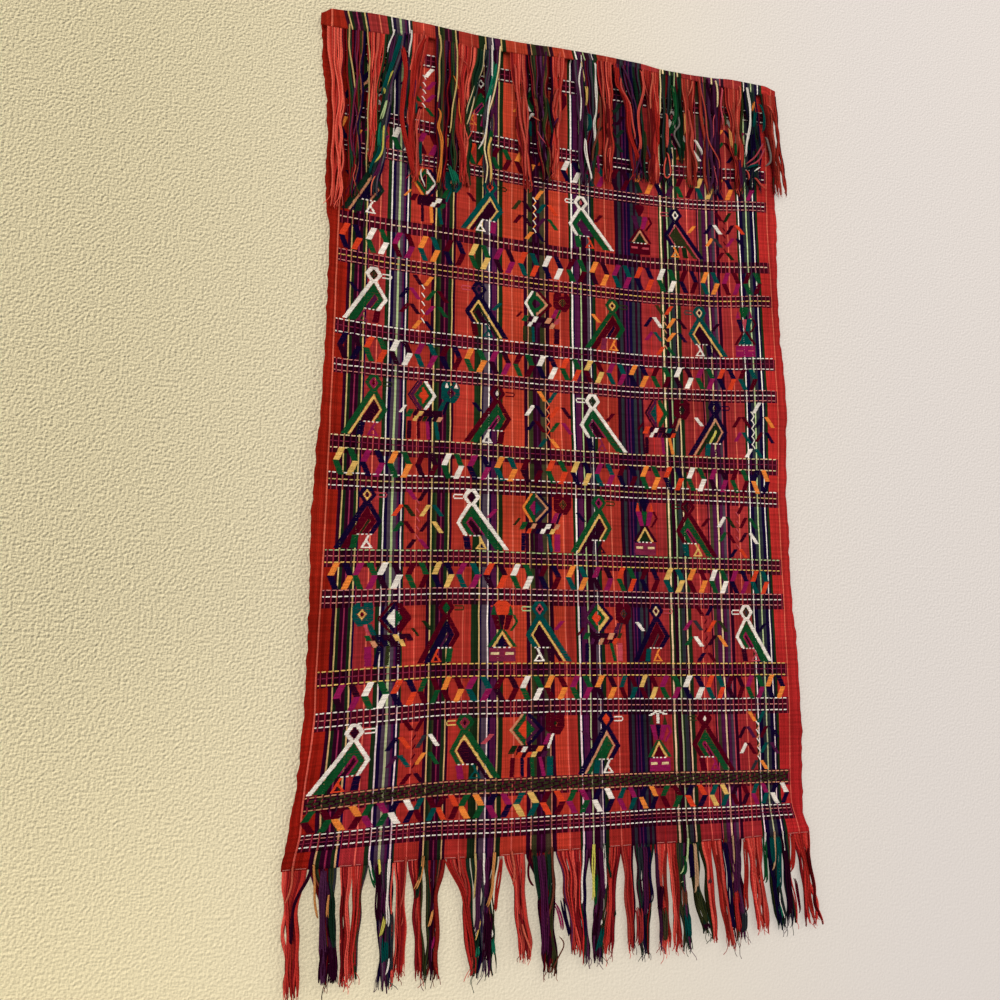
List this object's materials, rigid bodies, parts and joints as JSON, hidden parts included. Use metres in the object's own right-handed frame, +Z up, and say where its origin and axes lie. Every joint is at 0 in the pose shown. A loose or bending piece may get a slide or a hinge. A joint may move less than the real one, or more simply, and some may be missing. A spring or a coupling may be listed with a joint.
{
  "type": "embroidered wall hanging",
  "caption": "Hand-woven, warp-striped wall hanging brocaded with birds, horses and plants, its head folded forward and fringed at both ends",
  "frame": {"origin": "middle of the top edge of the fold, on the plane of the wall", "axes": "+X to the viewer's right along the fold, +Z up, -Y out of the wall towards the viewer"},
  "size_m": [0.5294, 0.0121, 0.941],
  "materials": {
    "brocaded_cotton": "matte warp-striped weave with raised brocade",
    "warp_yarn": "matte twisted cotton ends"
  },
  "bodies": {
    "root": {"cloth": "brocaded_cotton", "top_fringe": "warp_yarn", "bottom_fringe": "warp_yarn"}
  },
  "joints": []
}
